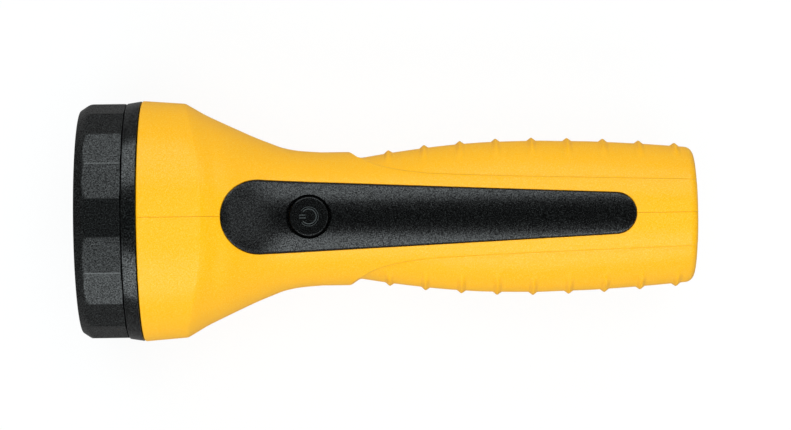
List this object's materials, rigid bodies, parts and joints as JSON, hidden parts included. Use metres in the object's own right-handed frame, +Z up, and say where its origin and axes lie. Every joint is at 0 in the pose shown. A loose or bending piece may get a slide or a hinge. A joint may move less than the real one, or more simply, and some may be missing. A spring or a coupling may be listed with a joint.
{
  "type": "rechargeable flashlight",
  "caption": "Hand-held rechargeable flashlight with a faceted head ring, ribbed grip, inlaid switch panel and a mains plug that slides out of the tail.",
  "frame": {"origin": "on the lamp's axis, halfway between the front rim and the tail face", "axes": "+Z up towards the push button, -X along the beam out of the lens, +X towards the tail"},
  "size_m": [0.195, 0.0768, 0.0772],
  "materials": {
    "yellow_shell": "spark-eroded moulded plastic, low sheen",
    "black_satin": "satin moulded plastic with smooth facets",
    "black_texture": "finely textured moulded plastic",
    "clear_lens": "clear polished plastic",
    "seal_rubber": "matt rubber",
    "reflector_mirror": "vacuum metallised",
    "circuit_board": "solder-masked laminate",
    "light_source": "moulded silicone dome",
    "sink_aluminium": "turned",
    "zinc_steel": "zinc plated",
    "battery_case": "moulded case",
    "foam": "open foam",
    "capacitor_film": "dipped coating",
    "contact_brass": "nickel plated, polished"
  },
  "bodies": {
    "housing": {"housing_left": "yellow_shell", "housing_right": "yellow_shell", "collar_ring": "black_satin", "switch_panel": "black_texture", "reflector": "reflector_mirror", "led_board": "circuit_board", "led_emitter": "light_source", "heat_sink": "sink_aluminium", "switch_body": "black_texture", "switch_board": "circuit_board", "battery_block": "battery_case", "battery_terminal_positive": "zinc_steel", "battery_terminal_negative": "zinc_steel", "battery_foam_pad": "foam", "charge_board": "circuit_board", "dropper_capacitor": "capacitor_film", "rectifier": "black_texture", "charge_contact_left": "contact_brass", "charge_contact_right": "contact_brass", "housing_screw_1": "zinc_steel", "housing_screw_2": "zinc_steel", "housing_screw_3": "zinc_steel", "housing_screw_4": "zinc_steel"},
    "lens_pack": {"lens": "clear_lens", "lens_seal": "seal_rubber"},
    "bezel": {"bezel_ring": "black_satin"},
    "button": {"power_button": "black_texture", "switch_plunger": "zinc_steel"},
    "plug": {"plug_carriage": "black_texture", "prong_left": "contact_brass", "prong_right": "contact_brass", "slider_knob": "black_texture"}
  },
  "joints": [
    {"name": "lens_slide", "type": "slide", "parent": "housing", "child": "lens_pack", "axis": [-1, 0, 0], "range_m": [0, 0.004]},
    {"name": "bezel_turn", "type": "hinge", "parent": "lens_pack", "child": "bezel", "pos_m": [-0.09, 0, 0], "axis": [-1, 0, 0], "range_deg": [0, 450]},
    {"name": "button_press", "type": "slide", "parent": "housing", "child": "button", "axis": [0, 0, -1], "range_m": [0, 0.0012], "stiffness_N_per_m": 1500},
    {"name": "plug_slide", "type": "slide", "parent": "housing", "child": "plug", "axis": [1, 0, 0], "range_m": [0, 0.018]}
  ],
  "couplings": [
    {"joint": "lens_slide", "follows": "bezel_turn", "m_per_rad": 0.00047746}
  ]
}
